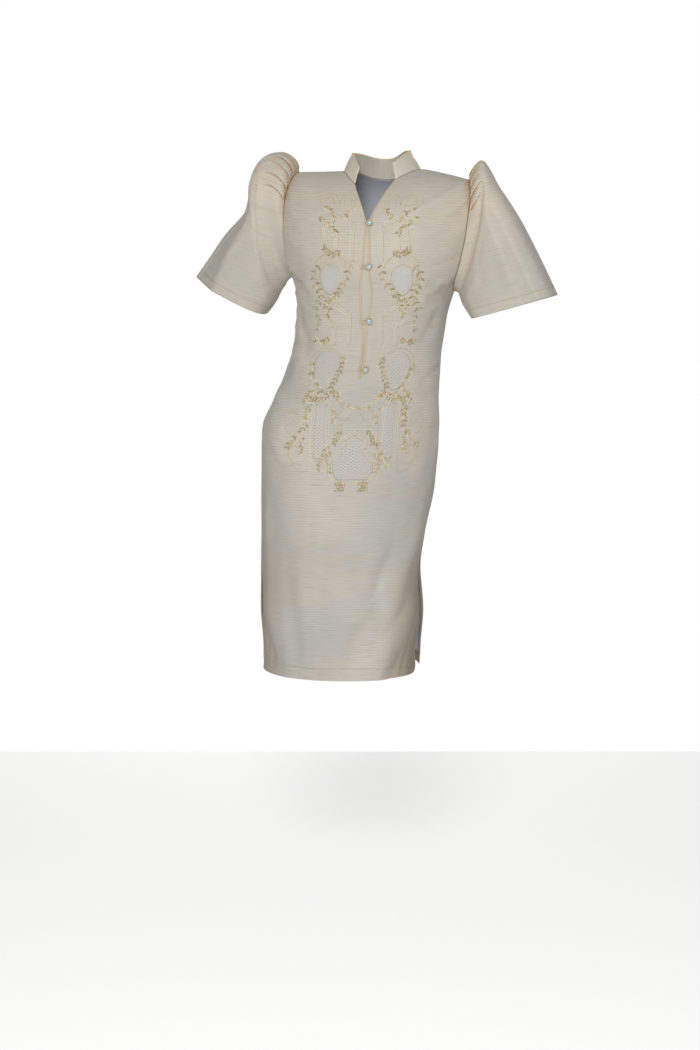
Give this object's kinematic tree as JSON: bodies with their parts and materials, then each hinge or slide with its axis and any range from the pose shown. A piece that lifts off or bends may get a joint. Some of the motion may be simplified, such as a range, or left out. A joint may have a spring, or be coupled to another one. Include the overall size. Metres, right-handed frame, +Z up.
{
  "type": "dress",
  "caption": "Short-sleeved stand-collar shift dress with high pleated sleeve caps, V neck, pearl-buttoned placket and side slits.",
  "frame": {"origin": "middle of the neck base on the shoulder line, where the worn dress hangs from the wearer's shoulders (mount worn_on_shoulders)", "axes": "+Z up along the dress from hem to neck, the front faces -Y, +X is the wearer's left side"},
  "size_m": [0.644, 0.2467, 0.9143],
  "materials": {
    "cloth": "silky sheer pineapple-fibre type cloth with fine slubs",
    "turned_cloth": "turned edges of the same cloth",
    "pearl": "pearl, glossy",
    "cord": "twisted thread cord"
  },
  "bodies": {
    "root": {"front": "cloth", "back": "cloth", "sleeve_right": "cloth", "sleeve_left": "cloth", "collar": "cloth", "button_stand": "cloth", "sleeve_hem_right": "turned_cloth", "sleeve_hem_left": "turned_cloth", "front_hem": "turned_cloth", "back_hem": "turned_cloth", "slit_facing_front_right": "turned_cloth", "slit_facing_front_left": "turned_cloth", "slit_facing_back_right": "turned_cloth", "slit_facing_back_left": "turned_cloth", "button_1": "pearl", "button_2": "pearl", "button_3": "pearl", "button_4": "pearl", "loop_1": "cord", "loop_2": "cord", "loop_3": "cord", "loop_4": "cord"}
  },
  "joints": []
}
